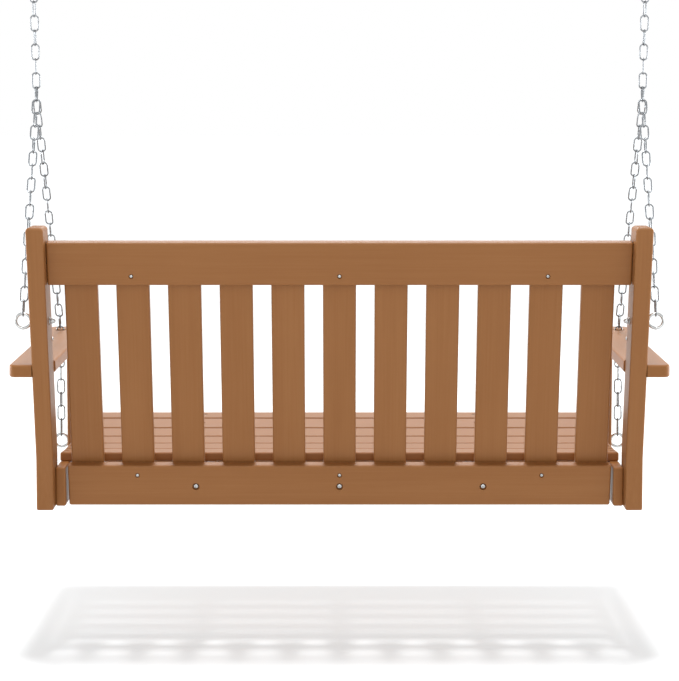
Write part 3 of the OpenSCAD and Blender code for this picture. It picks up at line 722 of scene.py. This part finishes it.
def addBearer(name, thick, rear, front, low, rearTilt=0.0):  # a board on edge, its top along the slats' undersides
    breaks = [ahead for ahead in slatAhead if rear + 4 * near < ahead < front - 4 * near]
    piece = addBox(name, (-thick / 2, -front, low), (thick / 2, -rear, underHigh(rear)))
    editMode(piece)
    for ahead in breaks:
        bpy.ops.mesh.select_all(action="SELECT")
        bpy.ops.mesh.bisect(plane_co=(0, -ahead, 0), plane_no=(0, 1, 0))
    for ahead in [*breaks, front]:
        pick(piece, lambda co: co.z > low + near and abs(co.y + ahead) < near)
        bpy.ops.transform.translate(value=(0, 0, underHigh(ahead) - underHigh(rear)))
    if rearTilt:  # the joists' rear ends lie flat on the raked slats
        pick(piece, lambda co: co.z > low + near and abs(co.y + rear) < near)
        bpy.ops.transform.translate(value=(0, rearTilt, 0))
    objectMode()
    return rounded(piece, bench["edge"], 3)


def makeRail(x, name, node):
    piece = addBearer(name, seat["railThick"], seat["railAhead"], apronBack, seat["railLow"])
    place(piece, toBench @ shift(x, 0, 0))
    wooden(piece, "ahead", node)


makeRail(railMid, "sideRailLeft", "side_rail_left")
makeRail(-railMid, "sideRailRight", "side_rail_right")

joistRear = rakeAhead(seat["joistLow"], bench["postDeep"])
for x, side in zip(joistsAcross, ("right", "centre", "left")):
    tilt = joistRear - rakeAhead(underHigh(joistRear), bench["postDeep"])
    joist = addBearer(f"seatJoist{side.title()}", seat["joistThick"], joistRear, beamBack, seat["joistLow"], tilt)
    place(joist, toBench @ shift(x, 0, 0))
    nutHole = holeCutter(barrelNut["thick"] + barrelNut["fit"], barrelNut["holeLong"])
    cutBy(joist, [place(nutHole, atJoistNuts[joistsAcross.index(x)])])
    wooden(joist, "ahead", f"seat_joist_{side}")


def addCrossBoard(name, long, rear, front):
    low = seat["joistLow"]
    piece = addBox(name, (-long / 2, -front, low), (long / 2, -rear, underHigh(rear)))
    editMode(piece)
    pick(piece, lambda co: co.z > low + near and abs(co.y + front) < near)
    bpy.ops.transform.translate(value=(0, 0, underHigh(front) - underHigh(rear)))
    objectMode()
    return place(rounded(piece, bench["edge"], 3), toBench)


apron = addCrossBoard("frontApron", boardLong, apronBack, apronFront)
wooden(recessed(apron, atApron), "across", "front_apron")
beam = addCrossBoard("frontBeam", 2 * (bench["innerHalf"] - seat["railThick"]), beamBack, apronBack)
wooden(beam, "across", "front_beam")
print("seat made")

arm = {
    "high": 0.307,
    "thick": 0.026,
    "wide": 0.085,
    "inset": 0.003,
    "nose": 0.0245,
    "corner": 0.014,
    "edge": 0.005,
    "hole": 0.025,
    "holeFlare": 0.002,
    "notchGap": 0.0003,
    "postTopRadius": 0.008,
}
armOuter = bench["innerHalf"] - arm["inset"] + arm["wide"]
armMidHigh = arm["high"] - arm["thick"] / 2
atArmTop = [toBench @ shift(postMid, aside - bench["frontPostAhead"], arm["high"])
            for aside in (-bench["postDeep"] / 4, bench["postDeep"] / 4)]
atArmSide = [toBench @ shift(armOuter, -rakeAhead(armMidHigh, bench["postDeep"] / 2), armMidHigh) @ outTurn]


def addFrontPost():
    half = Vector((bench["postThick"], bench["postDeep"], 0)) / 2
    piece = addBox("frontPost", -half, half + Vector((0, 0, arm["high"] - arm["thick"])))
    return place(rounded(piece, bench["edge"]), toBench @ shift(postMid, -bench["frontPostAhead"], 0))


def addRearPost():
    thick, deep, bend = bench["postThick"], bench["postDeep"], bench["bendHigh"]
    aboveArm = bench["rearPostHigh"] - 0.06
    along = Vector((0, math.sin(bench["rake"]), math.cos(bench["rake"])))
    step = deep * math.tan(bench["rake"] / 2)
    piece = addBox("rearPost", (-thick / 2, -deep, 0), (thick / 2, 0, bend))
    editMode(piece)
    pick(piece, lambda co: co.z > bend - near and co.y < -deep / 2)
    bpy.ops.transform.translate(value=(0, 0, step))
    bpy.ops.mesh.select_mode(type="FACE")
    pick(piece, lambda co: co.z > bend - near)
    bpy.ops.mesh.extrude_region_move(TRANSFORM_OT_translate={"value": along * rakedLong})
    bpy.ops.mesh.select_mode(type="VERT")
    frontOfTop = along.y * rakedLong - deep / 2
    pick(piece, lambda co: co.z > aboveArm and co.y < frontOfTop)
    bpy.ops.transform.translate(value=along * -step / math.cos(bench["rake"]))  # the top is cut level
    bpy.ops.mesh.select_mode(type="EDGE")
    pickEdges(piece, lambda a, b: min(a.z, b.z) > aboveArm)
    bpy.ops.mesh.bevel(offset=arm["postTopRadius"], segments=6, affect="EDGES")
    objectMode()
    return place(rounded(piece, bench["edge"]), toBench @ shift(postMid, 0, 0))


def addArm():
    inner, rear = bench["innerHalf"] - arm["inset"], rakeAhead(arm["high"] - arm["thick"] / 2, 0)
    front = bench["frontPostAhead"] + bench["postDeep"] / 2 + arm["nose"]
    piece = addBox("arm", (inner, -front, arm["high"] - arm["thick"]), (inner + arm["wide"], -rear, arm["high"]))
    editMode(piece, "EDGE")
    pickEdges(piece, upright)
    bpy.ops.mesh.bevel(offset=arm["corner"], segments=8, affect="EDGES")
    objectMode()
    place(rounded(piece, arm["edge"], 5), toBench)
    aside, beyond = 0.02, 0.1  # how far the notch's cutter reaches past the arm
    up = (arm["high"] - bench["bendHigh"]) / math.cos(bench["rake"])
    notchLow = (inner - aside, -bench["postDeep"] - arm["notchGap"], up - beyond)
    notch = addBox("notch", notchLow, (postOuter + arm["notchGap"], beyond, up + beyond))
    place(notch, toBack)
    rim, flare, thick = arm["hole"] / 2, arm["holeFlare"], arm["thick"]
    rings = [(rim + 2 * flare, -flare), (rim, flare), (rim, thick - flare), (rim + 2 * flare, thick + flare)]
    hole = addTurned("chainHole", rings, 40)
    place(hole, toBench @ shift(eyeAcross, -bench["frontPostAhead"], arm["high"] - arm["thick"]))
    return recessed(cutBy(piece, [notch, hole]), atArmTop + atArmSide)


leftPieces = {
    "front_post": (recessed(addFrontPost(), atSideRailFront), "upright"),
    "rear_post": (recessed(addRearPost(), atRailEnds + atSideRailRear), "raked"),
    "arm": (addArm(), "ahead"),
}
for node, (piece, grain) in leftPieces.items():
    name = piece.name
    piece.name = name + "Left"
    wooden(copyOf(piece, mirrored, name + "Right"), grain, node + "_right")
    wooden(piece, grain, node + "_left")
print("posts and arms made")


screwHead = {  # shares of the head's width and height, and of the shank's thickness for the point
    "dome": [(0.48, 0), (0.5, 0.12), (0.5, 0.45), (0.46, 0.72), (0.36, 0.93), (0.25, 1)],
    "driveIn": 0.72,
    "driveDeep": 0.55,
    "driveFoot": 0.9,
    "point": 0.12,
}


def addScrew(long, sizes):
    head, headHigh, shank, count = (sizes[key] for key in ("head", "headHigh", "thick", "sides"))
    dome = [(head * across, headHigh * up) for across, up in screwHead["dome"]]
    shaft = [(shank * screwHead["point"], -long), (shank / 2, -long + shank), (shank / 2, 0)]
    screw = addTurned("screw", shaft + dome, count)
    onTop = headHigh - 0.00001
    editMode(screw)
    pick(screw, lambda co: co.z > onTop and round(math.atan2(co.y, co.x) * count / math.tau) % 4 > 1)
    share = screwHead["driveIn"]
    bpy.ops.transform.resize(value=(share, share, 1), center_override=(0, 0, headHigh))
    bpy.ops.mesh.select_mode(type="FACE")
    pick(screw, lambda co: co.z > onTop)
    deep, share = headHigh * screwHead["driveDeep"], screwHead["driveFoot"]
    bpy.ops.mesh.extrude_region_move(TRANSFORM_OT_translate={"value": (0, 0, -deep)})
    bpy.ops.transform.resize(value=(share, share, 1), center_override=(0, 0, headHigh - deep))
    objectMode()
    return smoothed(screw, 50)


def fastened(name, node, parts, slotName="fasteners"):
    return finish(joined(name, parts), stainless, "seat", slotName, node)


def driven(name, node, *lots):  # each lot of screws has its length and its places
    parts = []
    for long, places in lots:
        screw = addScrew(long, screwSizes)
        parts += [copyOf(screw, spot @ shift(0, 0, -screwSizes["sunk"])) for spot in places]
        discard(screw)
    fastened(name, node, parts)


short, long = screwSizes["short"], screwSizes["long"]
tipBack = screwSizes["sunk"] + screwSizes["woodLeft"]
driven("topRailScrews", "top_rail_screws", (short, atTopRail))
driven("lowerRailScrews", "lower_rail_screws", (short, atLowRail))
driven("backSlatScrews", "back_slat_screws", (short, atSlatFronts))
allSeatScrews = [spot for i in range(seat["slats"]) for spot in atSeatScrews(i)]
driven("seatSlatScrews", "seat_slat_screws", (short, allSeatScrews))
driven("railEndScrews", "rail_end_screws", (long, bothSides(atRailEnds)))
throughPost = bench["postThick"] + seat["railThick"] - tipBack
driven("sideRailScrews", "side_rail_screws", (throughPost, bothSides(atSideRailRear + atSideRailFront)))
driven("apronScrews", "apron_screws", (seat["apronThick"] + screwSizes["intoBearer"], atApron))
acrossArm = arm["wide"] - arm["inset"] - tipBack
driven("armScrews", "arm_screws", (long, bothSides(atArmTop)), (acrossArm, bothSides(atArmSide)))

peg = addScrew(pegSizes["long"], pegSizes)
fastened("postPegs", "post_pegs", [copyOf(peg, spot) for spot in bothSides(atPegs)])
bolt = addScrew(boltSizes["long"], boltSizes)
fastened("joistBolts", "joist_bolts", [copyOf(bolt, spot @ shift(0, 0, -boltSizes["sunk"])) for spot in atBolts])
discard(peg, bolt)


def addBarrelNut(long):
    radius, end, rim = barrelNut["thick"] / 2, long / 2, barrelNut["rim"]
    rings = [(radius - rim, -end), (radius, rim - end), (radius, end - rim), (radius - rim, end)]
    return smoothed(addTurned("barrelNut", rings))


joistNut = addBarrelNut(seat["joistThick"] - 2 * barrelNut["short"])
beamNut = addBarrelNut(barrelNut["beamLong"])
beamNutAcross = bench["innerHalf"] - seat["railThick"] - eye["beamGrip"] + barrelNut["thick"]
beamPlace = toBench @ shift(beamNutAcross, -bench["frontPostAhead"], eye["frontHigh"]) @ turn(90, "X")
beamNuts = [copyOf(beamNut, spot) for spot in bothSides([beamPlace])]
fastened("barrelNuts", "barrel_nuts", [copyOf(joistNut, spot) for spot in atJoistNuts] + beamNuts)
discard(joistNut, beamNut)

capNutSizes = {
    "wide": 0.011,
    "flat": 0.0055,
    "high": 0.011,
    "edge": 0.0006,
    "domeIn": 0.0005,
    "domeFoot": 0.001,
    "domeSteps": (0, 15, 32, 50, 68, 84),
}
washerSizes = {"wide": 0.016, "thick": 0.0015, "rim": 0.0003}


def addCapNut():
    sizes = capNutSizes
    wide, flat = sizes["wide"] / 2, sizes["flat"]
    deselectAll()
    corner = wide / math.cos(math.pi / 6)
    bpy.ops.mesh.primitive_cylinder_add(vertices=6, radius=corner, depth=flat, location=(0, 0, 0))
    nut = bpy.context.object
    editMode(nut)
    bpy.ops.mesh.select_all(action="SELECT")
    bpy.ops.transform.translate(value=(0, 0, flat / 2))
    objectMode()
    rounded(nut, sizes["edge"], 2)
    radius, spring = wide - sizes["domeIn"], flat - sizes["domeIn"]
    arc = [math.radians(step) for step in sizes["domeSteps"]]
    rings = [(radius * math.cos(a), spring + (sizes["high"] - spring) * math.sin(a)) for a in arc]
    dome = addTurned("dome", [(radius, sizes["domeFoot"]), *rings], 28)
    return smoothed(joined("capNut", [nut, dome]))


def addWasher():
    radius, thick, rim = washerSizes["wide"] / 2, washerSizes["thick"], washerSizes["rim"]
    rings = [(radius - rim, 0), (radius, rim), (radius, thick - rim), (radius - rim, thick)]
    return smoothed(addTurned("washer", rings, 36))


capNut, washer = addCapNut(), addWasher()
atInnerPosts = bothSides([toBench @ shift(bench["innerHalf"], -rearEyeAhead, rearEyeHigh) @ turn(-90, "Y")])
fastened("capNuts", "cap_nuts", [copyOf(capNut, spot @ shift(0, 0, washerSizes["thick"])) for spot in atInnerPosts])
fastened("washers", "washers", [copyOf(washer, spot) for spot in atInnerPosts])
discard(capNut, washer)


def addEyeBolt(deep):  # ring in the XZ plane, shank towards -X
    wire, shank = eye["wire"] / 2, boltSizes["thick"] / 2
    deselectAll()
    bpy.ops.mesh.primitive_torus_add(major_radius=eyeRadius, minor_radius=wire, major_segments=48, minor_segments=16)
    ring = bpy.context.object
    editMode(ring)
    pick(ring, lambda co: co.x < 0)  # the ring draws in a little where it joins its shank
    bpy.ops.transform.resize(value=(1, eye["ringDraw"], 1), center_override=(0, 0, 0))
    objectMode()
    place(ring, turn(90, "X"))
    end = eyeRadius - eye["outer"] / 2 - deep  # along the shank, from the middle of the ring's wire
    point = [(shank * 0.8, end), (shank, end + shank * 0.25)]
    neck = [(shank * share, along) for share, along in eye["neck"]]
    rod = place(addTurned("shank", point + neck, 20), shift(-eyeRadius, 0, 0) @ turn(90, "Y"))
    modify(ring, "BOOLEAN", operation="UNION", object=rod, solver="EXACT")
    discard(rod)
    return smoothed(ring, 50)


eyeBolts = {
    "rear": (addEyeBolt(bench["postThick"] + washerSizes["thick"] + eye["nutGrip"]), atRearEye),
    "front": (addEyeBolt(bench["postThick"] + seat["railThick"] + eye["beamGrip"]), atFrontEye),
}
for end, (eyeBolt, spot) in eyeBolts.items():
    for side, flip in flips.items():
        fastened(f"{end}EyeBolt{side.title()}", f"{end}_eye_bolt_{side}", [copyOf(eyeBolt, flip @ spot)], "eye_bolts")
    discard(eyeBolt)
print("screws, nuts and eye bolts made")


def addLink(innerLong):
    straight, wire = innerLong - chain["innerWide"], chain["wire"] / 2
    deselectAll()
    bpy.ops.mesh.primitive_torus_add(major_radius=linkRadius, minor_radius=wire,
                                     major_segments=chain["bends"], minor_segments=chain["wireSides"])
    link = bpy.context.object
    halfStep = turn(180 / chain["bends"], "Z")  # so that no ring of points lies on the split
    place(link, turn(90, "X") @ halfStep)
    editMode(link)
    for sign in (1, -1):
        pick(link, lambda co: co.z * sign > 0)
        bpy.ops.transform.translate(value=(0, 0, sign * straight / 2))
    for high in chain["weldSteps"]:
        bpy.ops.mesh.select_all(action="SELECT")
        bpy.ops.mesh.bisect(plane_co=(0, 0, high), plane_no=(0, 0, 1))
    full = chain["weldFull"]
    pick(link, lambda co: co.x > 0 and abs(co.z) < chain["weldHalf"])  # the butt weld
    bpy.ops.transform.resize(value=(full, full, 1), center_override=(linkRadius, 0, 0))
    objectMode()
    contact = link.data.attributes.new("contact", "FLOAT", "POINT")  # the mask of the painted shade, where the next link bears on the bend's inside
    for vert, value in zip(link.data.vertices, contact.data):
        across, up = abs(vert.co.x), abs(vert.co.z)
        inward = max(0.0, 1 - (across / chain["contactShadeHalf"]) ** 2) * max(0.0, (innerLong / 2 + wire - up) / wire)
        value.value = min(1.0, inward) if up > straight / 2 else 0.0
    return smoothed(link, 60)


def turns(count, first):  # every other link square to the last, the free ones a little off
    angles = [first + 90 * (i % 2) for i in range(count)]
    for i in range(1, count - 1):
        angles[i] += chain["swivel"] * math.sin(math.radians(i * chain["swivelStep"]))
    return angles


def linkPlaces(start, end, lead, angles):
    way = (end - start).normalized()
    aim = Matrix.Rotation(math.atan2(way.y, -way.z), 4, "X") @ Matrix.Rotation(-math.asin(way.x), 4, "Y")
    aim = toBench @ Matrix.Translation(start) @ aim
    middles = [lead - linkLong / 2 - i * chain["pitch"] for i in range(len(angles))]
    return [aim @ shift(0, 0, middle) @ turn(angle, "Z") for middle, angle in zip(middles, angles)]


aside = Vector((legApart, 0, 0))
frontTurns = chain["firstTurns"] + turns(chain["frontLinks"] - len(chain["firstTurns"]), 90)
runs = {
    "upper_chain": linkPlaces(hookLow, junction, leadHook, turns(chain["upperLinks"], 90)),
    "rear_chain": linkPlaces(junction - aside, rearEyeTop, leadJunction, turns(chain["rearLinks"], 90)),
    "front_chain": linkPlaces(junction + aside, elbow, leadJunction, frontTurns)
    + linkPlaces(elbow, frontEyeTop, -chain["wire"] / 2, turns(chain["dropLinks"], 0)),
}
plainLink = addLink(linkLong)
for chainRun, places in runs.items():
    for side, flip in flips.items():
        links = [copyOf(plainLink, flip @ spot) for spot in places]
        name = chainRun.split("_")[0] + "Chain" + side.title()
        node = f"{chainRun}_{side}"
        finish(joined(name, links), zinc, node if chainRun == "upper_chain" else "seat", "chain", node)
discard(plainLink)

dropEnd = elbow.z - chain["wire"] / 2 - chain["dropLinks"] * chain["pitch"]
connectorLow = frontEyeTop.z - eye["wire"] / 2 - chain["slack"]
connectorPlace = toBench @ shift(eyeAcross, -bench["frontPostAhead"], (dropEnd + connectorLow) / 2) @ turn(90, "Z")
connector = place(addLink(dropEnd - connectorLow), connectorPlace)
finish(copyOf(connector, mirrored, "connectorRight"), zinc, "seat", "chain", "connector_right")
finish(connector, zinc, "seat", "chain", "connector_left").name = "connectorLeft"
print("chains made")


def drawOut(rings, across, width, at):  # extrudes the picked end through rings, each a width and a height
    for nextWidth, nextAt in rings:
        share = nextWidth / width
        bpy.ops.mesh.extrude_region_move(TRANSFORM_OT_translate={"value": (0, 0, nextAt - at)})
        bpy.ops.transform.resize(value=(share, share, 1), center_override=(across, 0, nextAt))
        width, at = nextWidth, nextAt


def addHanger():
    size = hanger
    thick = size["plateThick"]
    plateHalf = Vector((size["plateWide"], size["plateLong"], 0)) / 2
    screwPlate = addBox("hanger", -plateHalf - Vector((0, 0, thick)), plateHalf)
    editMode(screwPlate, "EDGE")
    pickEdges(screwPlate, upright)
    bpy.ops.mesh.bevel(offset=size["corner"], segments=8, affect="EDGES")
    objectMode()
    rounded(screwPlate, size["plateEdge"], 2)
    radius, past = size["hole"] / 2, 0.001
    rings = [(radius + size["holeFlare"], -thick - past), (radius, 1.5 * past - thick), (radius, past)]
    hole = addTurned("hole", rings, 32)
    cutBy(screwPlate, [copyOf(hole, shift(0, y * size["holePitch"] / 2, 0)) for y in (-1, 1)])
    discard(hole)

    rod, radius = size["rod"] / 2, size["bendRadius"]
    bendAt = -thick - size["neck"]
    collar = [(rod + proud, -thick - below) for proud, below in size["collar"]]
    width, at = collar[0][0], -thick / 2
    deselectAll()
    bpy.ops.mesh.primitive_circle_add(vertices=20, radius=width, fill_type="NGON")
    hook = bpy.context.object
    editMode(hook, "FACE")
    bpy.ops.mesh.select_all(action="SELECT")
    bpy.ops.transform.translate(value=(-radius, 0, at))

    drawOut([*collar, (rod, bendAt)], -radius, width, at)
    bpy.ops.mesh.spin(steps=20, angle=math.pi, center=(0, 0, bendAt), axis=(0, -1, 0))
    tip = [(rod * share, bendAt + size["tip"] + rod * past) for share, past in size["tipRound"]]
    drawOut(tip, radius, rod, bendAt)
    bpy.ops.mesh.select_all(action="SELECT")
    bpy.ops.mesh.normals_make_consistent(inside=False)
    objectMode()
    return smoothed(joined("hanger", [screwPlate, hook]), 45)


hangerPiece = place(addHanger(), shift(hookLow.x, 0, 0))
finish(copyOf(hangerPiece, mirrored, "ceilingHangerRight"), plate, "hangers", "hangers", "ceiling_hanger_right")
finish(hangerPiece, plate, "hangers", "hangers", "ceiling_hanger_left").name = "ceilingHangerLeft"
discard(recess, boltRecess)
print("hangers made")

# the beam's screws are out of sight and stay as they come
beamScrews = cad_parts["beam_screws"]
beamScrews.data.materials.clear()
beamScrews.data.materials.append(stainless)

studio = {
    "floorSize": 60,
    "floorBelowFeet": 0.3,
    "floorGlow": 0.25,
    "floorSeen": (0.955, 0.985, 1, 1),
    "floorBounce": (0.75, 0.75, 0.75, 1),
    "skyLevel": 0.5,
    "sunLevel": 2.1,
    "sunSoftness": math.radians(7),
    "lampsAim": (0.25, 0.25),  # ahead and high, the middle of the bench
    "sensor": 36,
    "focal": 1895.7,  # in pixels, as are the two below
    "frameHigh": 681,
    "axisRow": 204.8,
    "cameraAhead": -3.8232,
    "cameraHigh": 0.9014,
    "tiltDown": math.radians(4.1),
}
softboxes = {  # across, ahead, high, width, height, power; each faces the middle of the bench
    "frontSoftbox": (0, 3.5, 2.5, 3.4, 0.9, 48),
    "rearSoftbox": (0, -4.2, 2.2, 2.5, 2.0, 43),
    "leftSoftbox": (-5, 1.5, 0.6, 3, 2.0, 210),
    "rightSoftbox": (5, 1.5, 0.6, 3, 2.0, 210),
}


def whiteToTheEye(shader):  # 1 for what is seen directly or mirrored, 0 for what only lights the bench
    kinds = ("Is Camera Ray", "Is Glossy Ray", "Is Transmission Ray")
    direct, glossy, through = (shader.add("ShaderNodeLightPath", output=kind) for kind in kinds)
    return shader.ramp(direct + glossy + through, 0, 1)


white = (1, 1, 1, 1)
floorMaterial = bpy.data.materials.new("paleFloor")
pale = Shader(floorMaterial)
seen = whiteToTheEye(pale)
glow = pale.add("ShaderNodeEmission", sockets={"Color": white, "Strength": 1.0})
floorColour = pale.blend(seen, studio["floorBounce"], studio["floorSeen"])
matt = pale.add("ShaderNodeBsdfDiffuse", sockets={"Color": floorColour})
mix = pale.add("ShaderNodeMixShader", sockets={0: seen * studio["floorGlow"], 1: matt, 2: glow})
pale.feed(pale.tree.nodes["Material Output"].inputs["Surface"], mix)
deselectAll()
bpy.ops.mesh.primitive_plane_add(size=studio["floorSize"], location=(0, 0, -hangDrop - studio["floorBelowFeet"]))
floor = bpy.context.object
floor.name = "floor"
floor.data.materials.append(floorMaterial)
floor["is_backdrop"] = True

world = bpy.data.worlds.new("studio")
bpy.context.scene.world = world
sky = Shader(world)
background = sky.tree.nodes["Background"]
sky.feed(background.inputs["Color"], white)
sky.feed(background.inputs["Strength"], whiteToTheEye(sky) * (1 - studio["skyLevel"]) + studio["skyLevel"])

aimAhead, aimHigh = studio["lampsAim"]
benchMiddle = Vector((0, bench["hangAhead"] - aimAhead, aimHigh - hangDrop))
for name, (across, ahead, high, wide, tall, power) in softboxes.items():
    lamp = bpy.data.objects.new(name, bpy.data.lights.new(name, "AREA"))
    lamp.data.shape = "RECTANGLE"
    lamp.data.size, lamp.data.size_y = wide, tall
    lamp.data.energy = power
    lamp.location = (across, bench["hangAhead"] - ahead, high - hangDrop)
    lamp.rotation_euler = (benchMiddle - lamp.location).to_track_quat("-Z", "Y").to_euler()
    bpy.context.scene.collection.objects.link(lamp)
sun = bpy.data.objects.new("overhead", bpy.data.lights.new("overhead", "SUN"))
sun.data.energy = studio["sunLevel"]
sun.data.angle = studio["sunSoftness"]
bpy.context.scene.collection.objects.link(sun)

camera = bpy.data.objects.new("camera", bpy.data.cameras.new("camera"))
camera.data.sensor_width = studio["sensor"]
camera.data.lens = studio["sensor"] * studio["focal"] / studio["frameHigh"]
camera.data.shift_y = studio["axisRow"] / studio["frameHigh"] - 0.5
camera.location = (0, bench["hangAhead"] - studio["cameraAhead"], studio["cameraHigh"] - hangDrop)
camera.rotation_euler = (math.pi / 2 - studio["tiltDown"], 0, math.pi)
bpy.context.scene.collection.objects.link(camera)
bpy.context.scene.camera = camera
bpy.context.scene.view_settings.view_transform = "Standard"

deselectAll()
low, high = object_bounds()
